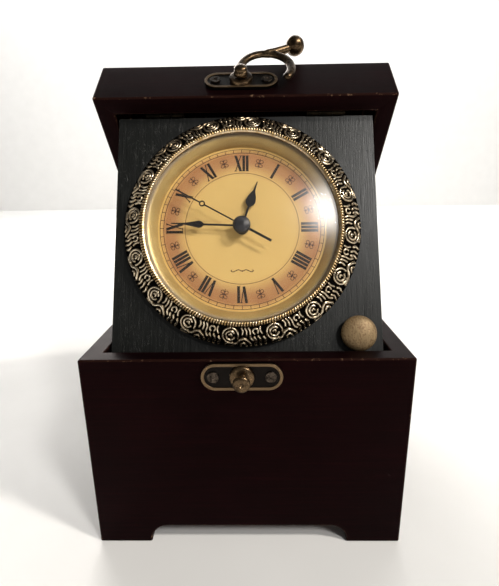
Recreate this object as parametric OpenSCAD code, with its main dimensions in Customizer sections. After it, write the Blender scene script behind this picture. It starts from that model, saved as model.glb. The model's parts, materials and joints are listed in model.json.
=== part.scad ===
// Quartz clock in a hinged wooden box. The lid is propped open by the clock
// panel, which is hinged inside the lid and folds flat into it for travel.
// Origin: on the table, below the middle of the open clock's overall size.
// Front is -Y, up is +Z. The modules draw about the box's own centre.

/* [Box] */
// Outer width and depth of the square box
box_w = 140; // [138:1:144]
// Height of the box from the table to its rim
box_h = 93; // [86:1:110]
// Thickness of the box and lid walls
wall_t = 8.5; // [8:0.5:9]
// Thickness of the bottom board
floor_t = 6; // [4:0.5:10]
// Height of the bottom board's underside above the table
floor_lift = 10; // [9.5:0.5:16]
// Width of each bracket foot along a wall
foot_w = 24.5; // [18:0.5:32]
// Height of the cut-out between two feet
foot_gap_h = 9; // [8.5:0.5:9.5]
// Radius of the cut-out's two top corners
foot_r = 8; // [4:0.5:8]

/* [Lid] */
// Height of the lid's side walls below the top board
lid_side_h = 20.5; // [20:0.5:26]
// Thickness of the lid's top board
lid_top_t = 6; // [4:0.5:8]
// Gap between the box rim and the closed lid
lid_gap = 0.3; // [0.2:0.1:0.5]
// Angle at which the propped lid stands open
lid_open = 49.1; // [49:0.1:49.3]

/* [Clock panel] */
// Width of the square panel
panel_w = 120; // [112:1:121]
// Length of the panel from its hinged top edge to its free edge
panel_len = 119.5; // [119:0.1:119.6]
// Thickness of the panel
panel_t = 8; // [6:0.5:9]
// Angle of the propped panel above the horizontal
panel_lean = 67; // [66.9:0.1:67.1]
// Height of the clock's centre above the panel's free edge
clock_up = 65; // [63:0.5:65]
// Distance of the clock and the latch from the middle, to the right
fit_x = -1.75; // [-3:0.25:3]
// Height of the pull knob's centre above the panel's free edge
pull_up = 17; // [17:0.5:20]
// Distance of the pull knob's centre from the middle
pull_x = 49; // [47:0.5:51]

/* [Clock insert] */
// Radius of the ornamented bezel
bezel_r = 53.5; // [53:0.5:54]
// Radius of the clear opening inside the ribbed ring
lens_r = 42.6; // [42:0.1:43]
// Radius of the dial
dial_r = 38.6; // [38:0.1:39]
// Radius of the hole in the panel
insert_r = 43; // [43:0.1:43.5]
// Side of the square movement case
case_w = 56; // [55:0.5:56]

/* [Hands] */
// Angle of the hour hand, clockwise from twelve
hour_angle = 18.9; // [0:0.1:360]
// Angle of the minute hand, clockwise from twelve
minute_angle = 272.6; // [0:0.1:360]
// Angle of the second hand, clockwise from twelve
second_angle = 299.4; // [0:0.1:360]
// Length of the hour hand
hour_len = 22; // [18:0.5:24]
// Length of the minute hand
minute_len = 31.7; // [28:0.1:35]
// Length of the second hand
second_len = 34; // [30:0.5:36]

/* [Latch] */
// Height of the hook's pivot above the lid rim
hook_up = 10.9; // [10:0.1:12]
// Depth of the catch knob's centre below the box rim
catch_down = 7.3; // [7:0.1:9]
// Length of the hook and catch plates
plate_len = 34; // [30:0.5:36]
// Width of the hook and catch plates
plate_w = 12; // [11:0.5:13]

/* [Hidden] */
$fn = 64;
eps = 0.01;

box_half = box_w / 2;
inner_half = box_half - wall_t;
lid_base_z = box_h + lid_gap;

// Rear hinge: the pin line, and the sizes of its brass leaves and barrel.
rear_pin_out = 1.8;
rear_y = box_half + rear_pin_out;
rear_z = box_h;
rear_barrel_r = 1.7;
rear_pin_r = 0.85;
rear_run = 0.05;
rear_leaf_t = 1.0;
rear_leaf_w = 25;
rear_leaf_h = 10;
rear_leaf_gap = 2.1;
rear_hinge_x = [-38, 38];
knuckle_gap = 0.15;
rear_screw_r = 1.0;
rear_screw_head_r = 1.9;
rear_screw_head_t = 0.7;
rear_screw_len = 6.5;

// Panel hinge: the pin line lies in the gap between the panel's top edge and
// the lid's front wall.
panel_gap = 2.0;
panel_pin_in = 1.05;
panel_pin_z = lid_base_z + 0.3;
panel_face_z = lid_base_z + 1.0;
panel_barrel_r = 0.9;
panel_pin_r = 0.45;
panel_leaf_t = 0.6;
panel_leaf_w = 18;
panel_leaf_h = 7.4;
panel_hinge_x = [-38, 38];
panel_screw_r = 0.8;
panel_screw_head_r = 1.3;
panel_screw_len = 7;

// Rest position of the panel pin line, turned with the lid.
pin_dy = -inner_half + panel_pin_in - rear_y;
pin_dz = panel_pin_z - rear_z;
pin_y = rear_y + pin_dy * cos(lid_open) + pin_dz * sin(lid_open);
pin_z = rear_z - pin_dy * sin(lid_open) + pin_dz * cos(lid_open);

// The panel's own frame: origin at the clock's centre on the panel's face,
// y up the panel, z out of the face.
panel_top = panel_len - clock_up;
pin_up = panel_top + panel_gap - panel_pin_in;
pin_out = panel_face_z - panel_pin_z;
panel_y = pin_y - pin_up * cos(panel_lean) + pin_out * sin(panel_lean);
panel_z = pin_z - pin_up * sin(panel_lean) - pin_out * cos(panel_lean);

// Depths along the clock's axis, measured out of the panel's face.
case_back = -13.2;
case_front = 0.9;
case_wall = 1.2;
plate_t = 1.2;
case_half = case_w / 2;
case_in = case_half - case_wall;
tray_y = -12.4;
bridge_z = -6.2;
bridge_t = 0.8;
flange_t = 1.2;
cup_r = insert_r - 2;
cup_wall = 1.5;
cup_back = -9;
dial_z = 1.6;
dial_t = 0.5;
hour_z = 3.9;
minute_z = 5.3;
second_z = 6.7;
hand_t = 0.35;
hub_r = 2.9;
boss_r = 3.95;

// Shafts and tubes of the train, each running inside the next.
arbor_r = 0.5;
run = 0.05;
minute_in = arbor_r + run;
minute_out = 1.1;
hour_in = minute_out + run;
hour_out = 1.9;
bush_in = hour_out + run;
bush_out = 3.2;
pivot_r = 0.4;
set_arbor_r = 0.6;

// Gear pairs: modules, tooth counts and centre distances.
third_mod = 0.30;
centre_mod = third_mod * (8 + 60) / (8 + 64);
motion_mod = 0.5;
hour_mod = 0.48;
second_mod = 0.3;
fifth_mod = 0.24;
third_dist = third_mod * (8 + 60) / 2;
motion_dist = motion_mod * (12 + 36) / 2;
fifth_dist = second_mod * (60 + 10) / 2;
rotor_dist = fifth_mod * (60 + 12) / 2;
third_dir = 90;
motion_dir = 30;
fifth_dir = 205;
rotor_dir = 207;
third_at = third_dist * [cos(third_dir), sin(third_dir)];
motion_at = motion_dist * [cos(motion_dir), sin(motion_dir)];
fifth_at = fifth_dist * [cos(fifth_dir), sin(fifth_dir)];
rotor_at = fifth_at + rotor_dist * [cos(rotor_dir), sin(rotor_dir)];

// Latch: heights above the front faces of the box and the lid.
latch_plate_t = 1.6;
latch_bevel = 0.8;
hook_low = 3.4;
hook_t = 2.8;
hook_w = 4.2;
hook_bore_r = 1.6;
rivet_r = 1.55;
latch_screw_x = 12;
latch_screw_r = 1.1;
latch_head_r = 2.4;
latch_head_t = 0.7;
latch_screw_len = 7;
catch_reach = 8.9;

// Middle of the open clock's depth: from the catch knob to the lid's back.
lid_back_y = rear_y + (box_half - rear_y) * cos(lid_open)
    + (lid_gap + lid_side_h + lid_top_t) * sin(lid_open);
mid_y = (lid_back_y - box_half - catch_reach) / 2;

WOOD = [0.17, 0.06, 0.05];
WOOD_LIGHT = [0.55, 0.40, 0.26];
BRASS = [0.62, 0.52, 0.34];
DARK_BRASS = [0.42, 0.36, 0.26];
STEEL = [0.72, 0.73, 0.75];
PANEL_BLACK = [0.07, 0.09, 0.08];
PLASTIC = [0.10, 0.10, 0.11];
WHITE_PLASTIC = [0.90, 0.90, 0.86];
HAND_BLACK = [0.05, 0.05, 0.06];
CREAM = [0.93, 0.82, 0.55];

// ---- placing ----

module about_middle() {
    translate([0, -mid_y, 0]) children();
}

module in_lid() {
    translate([0, rear_y, rear_z])
        rotate([-lid_open, 0, 0])
            translate([0, -rear_y, -rear_z])
                children();
}

module on_panel() {
    translate([0, panel_y, panel_z])
        rotate([panel_lean, 0, 0])
            children();
}

module on_clock() {
    on_panel() translate([fit_x, 0, 0]) children();
}

// x to the right, y up the face, z out of the front face
module on_lid_face() {
    in_lid() translate([fit_x, -box_half, lid_base_z + hook_up])
        rotate([90, 0, 0]) children();
}

module on_box_face() {
    translate([fit_x, -box_half, box_h - catch_down])
        rotate([90, 0, 0]) children();
}

module disc(r, z0, z1) {
    translate([0, 0, z0]) cylinder(r = r, h = z1 - z0);
}

module ring(r_in, r_out, z0, z1) {
    difference() {
        disc(r_out, z0, z1);
        disc(r_in, z0 - 1, z1 + 1);
    }
}

// ---- wooden box ----

module mitred_wall(h) {
    linear_extrude(height = h)
        polygon([[-box_half, -box_half], [box_half, -box_half],
            [inner_half, -inner_half], [-inner_half, -inner_half]]);
}

module foot_gap() {
    gap_half = box_half - foot_w;
    translate([0, -inner_half + 1, 0])
        rotate([90, 0, 0])
            linear_extrude(height = wall_t + 2)
                union() {
                    translate([-gap_half, -1])
                        square([2 * gap_half, foot_gap_h - foot_r + 1]);
                    translate([-gap_half + foot_r, -1])
                        square([2 * (gap_half - foot_r), foot_gap_h + 1]);
                    for (side = [-1, 1])
                        translate([side * (gap_half - foot_r), foot_gap_h - foot_r])
                            circle(r = foot_r);
                }
}

module box_wall(turn) {
    color(WOOD) rotate([0, 0, turn])
        difference() {
            mitred_wall(box_h);
            foot_gap();
        }
}

module lid_wall(turn) {
    color(WOOD) in_lid() translate([0, 0, lid_base_z])
        rotate([0, 0, turn]) mitred_wall(lid_side_h);
}

module box_front() { box_wall(0); }
module box_right() { box_wall(90); }
module box_back() { box_wall(180); }
module box_left() { box_wall(270); }
module lid_front() { lid_wall(0); }
module lid_right() { lid_wall(90); }
module lid_back() { lid_wall(180); }
module lid_left() { lid_wall(270); }

module box_floor() {
    color(WOOD_LIGHT) translate([-inner_half, -inner_half, floor_lift])
        cube([2 * inner_half, 2 * inner_half, floor_t]);
}

module lid_top() {
    color(WOOD) in_lid()
        translate([-box_half, -box_half, lid_base_z + lid_side_h])
            cube([box_w, box_w, lid_top_t]);
}

// ---- hinges ----

// Knuckles along x, numbered from the left; own lists the ones this leaf has.
module knuckles(count, own, width, barrel_r, bore_r) {
    step = width / count;
    for (i = own)
        translate([-width / 2 + i * step + knuckle_gap, 0, 0])
            rotate([0, 90, 0])
                difference() {
                    cylinder(r = barrel_r, h = step - 2 * knuckle_gap);
                    translate([0, 0, -1]) cylinder(r = bore_r, h = step + 2);
                }
}

// Strips that join the knuckles to the leaf, before the bore is cleared.
module knuckle_tabs(count, own, width, y0, thick, z_len, bore_r) {
    step = width / count;
    difference() {
        for (i = own)
            translate([-width / 2 + i * step + knuckle_gap, y0, 0])
                cube([step - 2 * knuckle_gap, thick, z_len]);
        rotate([0, 90, 0])
            translate([0, 0, -width]) cylinder(r = bore_r, h = 2 * width);
    }
}

// Leaf of the rear hinge, drawn upwards from the pin line, on the back face.
module rear_leaf(own, bore_r) {
    difference() {
        union() {
            knuckles(5, own, rear_leaf_w, rear_barrel_r, bore_r);
            knuckle_tabs(5, own, rear_leaf_w, -rear_pin_out, rear_leaf_t,
                rear_leaf_gap + eps, bore_r);
            translate([-rear_leaf_w / 2, -rear_pin_out, rear_leaf_gap])
                cube([rear_leaf_w, rear_leaf_t, rear_leaf_h - rear_leaf_gap]);
        }
        for (side = [-1, 1])
            translate([side * rear_leaf_w * 0.32, 0, rear_leaf_h * 0.62])
                rotate([90, 0, 0])
                    cylinder(r = rear_screw_r, h = 20, center = true);
    }
}

module rear_screw_pair() {
    for (side = [-1, 1])
        translate([side * rear_leaf_w * 0.32, -rear_pin_out + rear_leaf_t,
            rear_leaf_h * 0.62])
            rotate([90, 0, 0])
                union() {
                    disc(rear_screw_r, -eps, rear_screw_len);
                    disc(rear_screw_head_r, -rear_screw_head_t, 0);
                }
}

module at_rear_hinges() {
    for (x = rear_hinge_x) translate([x, rear_y, rear_z]) children();
}

module rear_hinge_box_leaves() {
    color(BRASS) at_rear_hinges()
        mirror([0, 0, 1]) rear_leaf([0, 2, 4], rear_pin_r);
}

module rear_hinge_box_screws() {
    color(BRASS) at_rear_hinges() mirror([0, 0, 1]) rear_screw_pair();
}

module rear_hinge_pins() {
    color(STEEL) at_rear_hinges()
        rotate([0, 90, 0])
            cylinder(r = rear_pin_r, h = rear_leaf_w, center = true);
}

module rear_hinge_lid_leaves() {
    color(BRASS) in_lid() at_rear_hinges()
        rear_leaf([1, 3], rear_pin_r + rear_run);
}

module rear_hinge_lid_screws() {
    color(BRASS) in_lid() at_rear_hinges() rear_screw_pair();
}

// Leaf of a panel hinge: drawn upwards from the pin line, flat side at y0.
module panel_leaf(own, bore_r, y0) {
    start = panel_barrel_r + 0.3;
    difference() {
        union() {
            knuckles(3, own, panel_leaf_w, panel_barrel_r, bore_r);
            knuckle_tabs(3, own, panel_leaf_w, y0, panel_leaf_t, start + eps, bore_r);
            translate([-panel_leaf_w / 2, y0, start])
                cube([panel_leaf_w, panel_leaf_t, panel_leaf_h - start]);
        }
        for (side = [-1, 1])
            translate([side * panel_leaf_w * 0.32, 0, panel_leaf_h * 0.62])
                rotate([90, 0, 0])
                    cylinder(r = panel_screw_head_r, h = 10, center = true);
    }
}

// Flush screws: the head fills the leaf's hole, the shank goes into the wood.
module panel_screw_pair(y0) {
    for (side = [-1, 1])
        translate([side * panel_leaf_w * 0.32, y0, panel_leaf_h * 0.62])
            rotate([90, 0, 0])
                union() {
                    disc(panel_screw_head_r, -panel_leaf_t, 0);
                    disc(panel_screw_r, -eps, panel_screw_len);
                }
}

module at_lid_panel_hinges() {
    in_lid() for (x = panel_hinge_x)
        translate([x, -inner_half + panel_pin_in, panel_pin_z]) children();
}

module at_panel_hinges() {
    on_panel() for (x = panel_hinge_x)
        translate([x, pin_up, pin_out]) mirror([0, 0, 1]) children();
}

module panel_hinge_lid_leaves() {
    color(BRASS) at_lid_panel_hinges()
        panel_leaf([0, 2], panel_pin_r, -panel_pin_in);
}

module panel_hinge_lid_screws() {
    color(BRASS) at_lid_panel_hinges() panel_screw_pair(-panel_pin_in);
}

module panel_hinge_pins() {
    color(STEEL) at_lid_panel_hinges()
        rotate([0, 90, 0])
            cylinder(r = panel_pin_r, h = panel_leaf_w, center = true);
}

module panel_hinge_leaves() {
    color(BRASS) at_panel_hinges()
        panel_leaf([1], panel_pin_r + rear_run, panel_pin_in - panel_gap);
}

module panel_hinge_screws() {
    color(BRASS) at_panel_hinges()
        panel_screw_pair(panel_pin_in - panel_gap);
}

// ---- latch ----

module latch_plate_2d(inset) {
    r = plate_w / 2 - inset;
    reach = plate_len / 2 - plate_w / 2;
    union() {
        for (side = [-1, 1]) translate([side * reach, 0]) circle(r = r);
        square([2 * reach, 2 * r], center = true);
    }
}

// Plate with a raised rim around a sunk middle.
module latch_plate() {
    difference() {
        linear_extrude(height = latch_plate_t) latch_plate_2d(0);
        translate([0, 0, latch_plate_t - 0.4])
            linear_extrude(height = 1) latch_plate_2d(1.3);
        for (side = [-1, 1])
            translate([side * latch_screw_x, 0, -1])
                cylinder(r = latch_screw_r, h = 4);
        translate([0, 0, -1]) cylinder(r = rivet_r, h = 4);
    }
}

// Two cross-slotted screws whose shanks run back into the wood.
module latch_screw_pair() {
    seat = latch_plate_t - 0.4;
    for (side = [-1, 1])
        translate([side * latch_screw_x, 0, 0])
            difference() {
                union() {
                    disc(latch_screw_r, seat - latch_screw_len, seat + eps);
                    disc(latch_head_r, seat, seat + latch_head_t);
                }
                for (turn = [0, 90])
                    rotate([0, 0, turn + 45])
                        translate([0, 0, seat + latch_head_t])
                            cube([2.6, 0.5, 0.7], center = true);
            }
}

module catch_plate() { color(BRASS) on_box_face() latch_plate(); }
module catch_screws() { color(STEEL) on_box_face() latch_screw_pair(); }
module hook_plate() { color(BRASS) on_lid_face() latch_plate(); }
module hook_screws() { color(STEEL) on_lid_face() latch_screw_pair(); }

module catch_knob() {
    seat = latch_plate_t - 0.4;
    color(BRASS) on_box_face()
        rotate_extrude()
            polygon([[0, -2.4], [rivet_r, -2.4], [rivet_r, seat], [5.2, seat],
                [5.2, 2.2], [4.2, 3.0], [1.8, 3.0], [1.8, 6.5], [3.0, 6.7],
                [3.65, 7.3], [3.65, 8.1], [3.1, 8.8], [0.9, catch_reach], [0.6, 8.4],
                [0, 8.3]]);
}

// Collar below the hook, and the domed rivet that holds it.
module hook_pivot() {
    seat = latch_plate_t - 0.4;
    top = hook_low + hook_t + 0.2;
    color(BRASS) on_lid_face()
        rotate_extrude()
            polygon([[0, -2.4], [rivet_r, -2.4], [rivet_r, seat], [5.4, seat],
                [5.4, 2.4], [4.6, hook_low - 0.2], [rivet_r, hook_low - 0.2],
                [rivet_r, top], [3.0, top], [2.7, top + 0.9], [1.7, top + 1.5],
                [0, top + 1.7]]);
}

// The hook's curl is an ellipse around its mouth; the handle leaves the curl
// near its top and ends in a ball.
curl_c = [11.5, 3.2];
curl_a = 11.8;
curl_b = 12.6;
curl_from = 197;
curl_to = -33;
curl_steps = 30;
handle_root = [8.5, 15];
handle_bend = [17.5, 16.4];
handle_t = 4;
ball_at = [26, 22.8];
ball_r = 4.6;

function curl_pt(angle, grow) =
    curl_c + [(curl_a + grow) * cos(angle), (curl_b + grow) * sin(angle)];
function curl_line(grow) =
    [for (i = [0:curl_steps]) curl_pt(curl_from + (curl_to - curl_from) * i / curl_steps, grow)];
function flip(list) = [for (i = [len(list) - 1:-1:0]) list[i]];
// Point on a quadratic curve from a to c, pulled towards b.
function bend(a, b, c, t) = (1 - t) * (1 - t) * a + 2 * t * (1 - t) * b + t * t * c;
function bend_dir(a, b, c, t) = 2 * (1 - t) * (b - a) + 2 * t * (c - b);
function side_of(v) = [-v[1], v[0]] / norm(v);
function handle_side(s) = [for (i = [0:8])
    let (t = i / 8)
        bend(handle_root, handle_bend, ball_at, t)
            + s * (hook_w / 2 - 0.3 * t) * side_of(bend_dir(handle_root, handle_bend, ball_at, t))];

module hook() {
    color(BRASS) on_lid_face()
        difference() {
            union() {
                translate([0, 0, hook_low]) linear_extrude(height = hook_t)
                    union() {
                        polygon(concat(curl_line(hook_w / 2), flip(curl_line(-hook_w / 2))));
                        circle(r = 3.3);
                        translate(curl_pt(curl_to, 0)) circle(r = hook_w / 2);
                    }
                translate([0, 0, hook_low + hook_t / 2]) {
                    linear_extrude(height = handle_t, center = true)
                        polygon(concat(handle_side(1), flip(handle_side(-1))));
                    translate(ball_at) sphere(r = ball_r);
                }
            }
            disc(hook_bore_r, 0, 20);
        }
}

// ---- panel ----

module panel_board() {
    color(PANEL_BLACK) on_panel()
        difference() {
            translate([-panel_w / 2, -clock_up, -panel_t])
                cube([panel_w, panel_len, panel_t]);
            translate([fit_x, 0, 0]) disc(insert_r, -panel_t - 1, 1);
            translate([pull_x, pull_up - clock_up, 0]) disc(1.6, -panel_t - 1, 1);
        }
}

module at_pull() {
    on_panel() translate([pull_x, pull_up - clock_up, 0]) children();
}

module pull_knob() {
    color(BRASS) at_pull()
        difference() {
            rotate_extrude()
                polygon([[0, 0], [3.6, 0], [3.2, 1.0], [3.4, 1.5], [7.6, 1.9],
                    [7.8, 2.4], [7.8, 3.0], [7.4, 3.9], [6.2, 4.8], [4.2, 5.5],
                    [2.1, 5.9], [0, 6.0]]);
            disc(1.5, -1, 4);
        }
}

module pull_knob_screw() {
    color(STEEL) at_pull()
        union() {
            disc(1.5, -panel_t - eps, 3.8);
            disc(3, -panel_t - 1.8, -panel_t);
        }
}

// Steel strike on the panel's back, held by a magnet under the lid's top.
strike_up = 9;
strike_t = 0.8;
magnet_r = 4;
magnet_t = 4;
magnet_gap = 0.3;
block_half = 9;
strike_y = -inner_half + panel_gap + panel_len - strike_up;
magnet_low = panel_face_z + panel_t + strike_t + magnet_gap;

module strike_plate() {
    color(STEEL) on_panel()
        translate([-8, strike_up - clock_up - 5, -panel_t - strike_t])
            cube([16, 10, strike_t]);
}

module magnet_block() {
    color(WOOD_LIGHT) in_lid()
        difference() {
            translate([-block_half, strike_y - 7, magnet_low])
                cube([2 * block_half, 14, lid_base_z + lid_side_h - magnet_low]);
            translate([0, strike_y, magnet_low - 1]) cylinder(r = magnet_r, h = magnet_t + 1);
        }
}

module catch_magnet() {
    color(STEEL) in_lid()
        translate([0, strike_y, magnet_low]) cylinder(r = magnet_r, h = magnet_t);
}

// ---- clock insert ----

// Stamped bezel: a thin shell that rises from the panel to the ribbed ring.
module bezel() {
    color(BRASS) on_clock()
        rotate_extrude($fn = 128)
            polygon([[bezel_r, 0], [bezel_r, 2.6], [bezel_r - 0.8, 3.8], [51.0, 5.3],
                [48.5, 6.9], [46.5, 7.9], [45.2, 8.3], [45.2, 6.9], [46.2, 6.6],
                [48.0, 5.7], [50.2, 4.2], [51.9, 2.8], [52.3, 2.0], [52.3, 0]]);
}

module bead_ring() {
    color(BRASS) on_clock()
        rotate_extrude($fn = 128)
            polygon([[45.2, flange_t], [45.2, 8.6], [44.6, 9.3], [43.4, 9.3], [lens_r, 8.6],
                [lens_r, 8.0], [43.6, 8.0], [43.6, flange_t]]);
}

// Gold ring that slopes from the lens down to the dial.
module reflector_ring() {
    color(CREAM) on_clock()
        rotate_extrude($fn = 128)
            polygon([[43.5, 6.6], [42.0, 6.6], [40.6, 5.6], [39.4, 4.2], [38.2, 2.2],
                [38.2, dial_z + dial_t], [40.0, dial_z + dial_t], [41.2, 4.0],
                [42.2, 5.0], [43.5, 5.4]]);
}

lens_rise = 4.6;
lens_t = 1.1;
lens_edge_z = 6.7;
lens_out_r = 43.5;
// Height of the lens's outer face at radius r; the edge lies at zero.
function dome(r) = lens_rise * (1 - pow(r / lens_out_r, 2));
lens_steps = 14;

module lens() {
    color([0.9, 0.95, 0.95, 0.3]) on_clock()
        rotate_extrude($fn = 128)
            polygon(concat(
                [for (i = [0:lens_steps])
                    let (r = lens_out_r * i / lens_steps) [r, lens_edge_z + lens_t + dome(r)]],
                [for (i = [lens_steps:-1:0])
                    let (r = lens_out_r * i / lens_steps) [r, lens_edge_z + dome(r)]]));
}

module dial() {
    color(CREAM) on_clock() ring(bush_out, dial_r, dial_z, dial_z + dial_t);
}

// Black plastic cup that goes through the panel. Its flange carries the
// bezel, and a ledge inside the flange carries the dial.
ear_x = case_half + 2.6;
flange_r = 51.5;
ledge_low = 1.0;
module insert_cup() {
    opening = case_w + 0.6;
    color(PLASTIC) on_clock()
        union() {
            difference() {
                union() {
                    disc(cup_r, cup_back, flange_t);
                    disc(flange_r, 0, flange_t);
                }
                disc(cup_r - cup_wall, cup_back + 1.4, flange_t + 1);
                square_case(opening / 2, cup_back - 1, flange_t + 1);
                for (side = [-1, 1])
                    translate([side * ear_x, 0, 0]) disc(0.9, cup_back - 1, cup_back + 2);
            }
            ring(dial_r - 4, cup_r, ledge_low, dial_z);
        }
}

module grip_ring() {
    color([0.14, 0.14, 0.14]) on_clock() ring(cup_r, insert_r, -6.5, -1.5);
}

// ---- movement ----

module at_xy(p) {
    translate([p[0], p[1], 0]) children();
}

module square_case(half, z0, z1) {
    translate([-half, -half, z0]) cube([2 * half, 2 * half, z1 - z0]);
}

// Open-backed case: the train above, the cell tray below, two fixing ears.
module movement_case() {
    floor_z = case_front - plate_t;
    color(PLASTIC) on_clock()
        difference() {
            union() {
                square_case(case_half, case_back, case_front);
                translate([-case_half - 5.2, -4, cup_back - 1.4])
                    cube([case_w + 10.4, 8, 1.4]);
                disc(bush_out, 0, hour_z - 1.2);
            }
            translate([-case_in, tray_y, case_back - 1])
                cube([2 * case_in, case_in - tray_y, floor_z - case_back + 1]);
            translate([-case_in, -case_in, case_back - 1])
                cube([2 * case_in, case_in + tray_y - plate_t, floor_z - case_back + 1]);
            disc(bush_in, -5, 10);
            at_xy(motion_at) disc(pivot_r + run, floor_z - 1, floor_z + 0.7);
            for (side = [-1, 1])
                translate([side * ear_x, 0, 0]) disc(1.0, cup_back - 3, cup_back + 1);
        }
}

module movement_back() {
    color(PLASTIC) on_clock()
        difference() {
            translate([-case_in, tray_y, case_back])
                cube([2 * case_in, case_in - tray_y, plate_t]);
            disc(pivot_r + run, case_back + 0.4, case_back + 3);
            for (p = [third_at, fifth_at, rotor_at])
                at_xy(p) disc(pivot_r + run, case_back + 0.4, case_back + 3);
            at_xy(motion_at) disc(set_arbor_r + run, case_back - 1, case_back + 3);
        }
}

module movement_screws() {
    color(STEEL) on_clock()
        for (side = [-1, 1])
            translate([side * ear_x, 0, 0])
                union() {
                    disc(0.9, cup_back - 1.4 - eps, cup_back + 1.2);
                    disc(2.2, cup_back - 2.6, cup_back - 1.4);
                }
}

// Middle plate that holds the front pivots of the train.
module train_bridge() {
    left = -12;
    color(WHITE_PLASTIC) on_clock()
        difference() {
            union() {
                translate([left, tray_y, bridge_z])
                    cube([case_in - left, case_in - tray_y, bridge_t]);
                translate([-22, tray_y, bridge_z]) cube([11, 8.4, bridge_t]);
            }
            disc(minute_out + 0.1, bridge_z - 1, bridge_z + 2);
            for (p = [third_at, fifth_at, rotor_at])
                at_xy(p) disc(pivot_r + run, bridge_z - 1, bridge_z + 2);
            at_xy(motion_at) disc(set_arbor_r + run, bridge_z - 1, bridge_z + 2);
        }
}

// Board with its chip, and the quartz crystal's can lying beside it.
board_z = case_back + plate_t;
board_t = 0.8;
crystal_r = 1.05;
module circuit_board() {
    color([0.10, 0.35, 0.18]) on_clock() {
        union() {
            translate([17.5, -11, board_z]) cube([8.8, 36, board_t]);
            translate([19, 14, board_z + board_t - eps]) cube([6, 6, 1.2]);
        }
        translate([21.8, -6, board_z + board_t + crystal_r])
            rotate([-90, 0, 0]) cylinder(r = crystal_r, h = 6.2);
    }
}

coil_x = -22.3;
coil_z = -8.6;
// Bobbin wound with copper wire, on the ends of the stator core.
module coil() {
    color([0.72, 0.38, 0.16]) on_clock()
        translate([coil_x, 0, coil_z])
            rotate([-90, 0, 0])
                difference() {
                    union() {
                        disc(2.6, 0, 18);
                        for (end = [0, 17]) disc(3.2, end, end + 1);
                    }
                    translate([-1.2, -0.5, -1]) cube([2.4, 1, 20]);
                }
}

// Soft iron: a core through the coil, closed by a loop around the rotor.
stator_z = -11.2;
stator_t = 1;
return_x = -18.9;
return_w = 1.7;
module stator() {
    core_w = 2.4;
    riser_h = coil_z + stator_t / 2 - stator_z;
    color(STEEL) on_clock()
        difference() {
            union() {
                translate([coil_x - core_w / 2, -6, coil_z - stator_t / 2])
                    cube([core_w, 27, stator_t]);
                translate([coil_x - core_w / 2, 19, coil_z - stator_t / 2])
                    cube([return_x + return_w - coil_x + core_w / 2, 2, stator_t]);
                translate([return_x, -5.2, coil_z - stator_t / 2])
                    cube([return_w, 26.2, stator_t]);
                translate([coil_x - core_w / 2, -12, stator_z])
                    cube([-13.1 - coil_x + core_w / 2, 8.2, stator_t]);
                translate([coil_x - core_w / 2, -6, stator_z])
                    cube([core_w, 2.2, riser_h]);
                translate([return_x, -5.2, stator_z]) cube([return_w, 1.7, riser_h]);
            }
            at_xy(rotor_at) disc(2.9, -15, 0);
        }
}

cell_r = 5.2;
cell_y = -20.2;
cell_z = -6.9;
module battery() {
    color([0.55, 0.45, 0.20]) on_clock()
        translate([0, cell_y, cell_z]) rotate([0, 90, 0])
            union() {
                disc(cell_r, -22, 21.6);
                disc(1.9, 21.6 - eps, 22.5);
            }
}

module battery_contacts() {
    color(STEEL) on_clock() {
        translate([22.5, cell_y - 3.5, cell_z - 4]) cube([0.4, 7, 8]);
        translate([22.9 - eps, cell_y - 3.5, cell_z - 4]) cube([case_in - 22.9, 7, 0.4]);
        translate([-22.4, cell_y - 3.5, cell_z - 4]) cube([0.4, 7, 8]);
        translate([-case_in, cell_y - 3.5, cell_z - 4]) cube([case_in - 22.4 + eps, 7, 0.4]);
    }
}

// ---- gears ----

// Outline of a gear. Teeth are 38% of the pitch wide, with straight flanks
// below the pitch circle and a rounded nose above it.
tooth_share = 0.38;
function tooth_pts(teeth, mod, turn, add, ded) = [
    for (i = [0:teeth - 1])
        let (mid = turn + 360 * i / teeth)
            let (half = 180 * tooth_share / teeth)
                for (p = [[-1.15, -ded], [-1, 0], [-0.62, 0.6 * add], [-0.2, add],
                    [0.2, add], [0.62, 0.6 * add], [1, 0], [1.15, -ded]])
                    let (r = teeth * mod / 2 + p[1] * mod)
                        r * [cos(mid + p[0] * half), sin(mid + p[0] * half)]];

module gear(teeth, mod, z0, z1, turn) {
    translate([0, 0, z0]) linear_extrude(height = z1 - z0)
        polygon(tooth_pts(teeth, mod, turn, 0.85, 1.05));
}

// A wheel whose partner lies towards dir has a gap there, a pinion a tooth.
function gap_turn(teeth, dir) = dir + 180 / teeth;

module second_wheel() {
    color(BRASS) on_clock()
        union() {
            disc(arbor_r, case_back + plate_t, second_z + 0.2);
            disc(pivot_r, case_back + 0.5, case_back + plate_t + eps);
            gear(60, second_mod, -10.9, -10.1, gap_turn(60, fifth_dir));
            gear(8, third_mod, -10.1 - eps, -8.0, third_dir);
        }
}

module centre_wheel() {
    color(BRASS) on_clock()
        difference() {
            union() {
                disc(minute_out, -7.5, minute_z + 0.2);
                gear(64, centre_mod, -7.5, -6.8, gap_turn(64, third_dir));
                gear(12, motion_mod, -5.2, -3.8, motion_dir);
            }
            disc(minute_in, -10, 10);
        }
}

module hour_wheel() {
    color(BRASS) on_clock()
        difference() {
            union() {
                disc(hour_out, -3.3, hour_z + 0.2);
                gear(40, hour_mod, -3.3, -2.3, gap_turn(40, motion_dir));
            }
            disc(hour_in, -10, 10);
        }
}

module third_wheel() {
    color(BRASS) on_clock() at_xy(third_at)
        union() {
            disc(0.6, case_back + plate_t + 0.3, bridge_z - 0.2);
            disc(pivot_r, case_back + 0.5, bridge_z + bridge_t);
            gear(60, third_mod, -9.2, -8.4, gap_turn(60, third_dir + 180));
            gear(8, centre_mod, -8.4 - eps, -6.5, third_dir + 180);
        }
}

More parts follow.
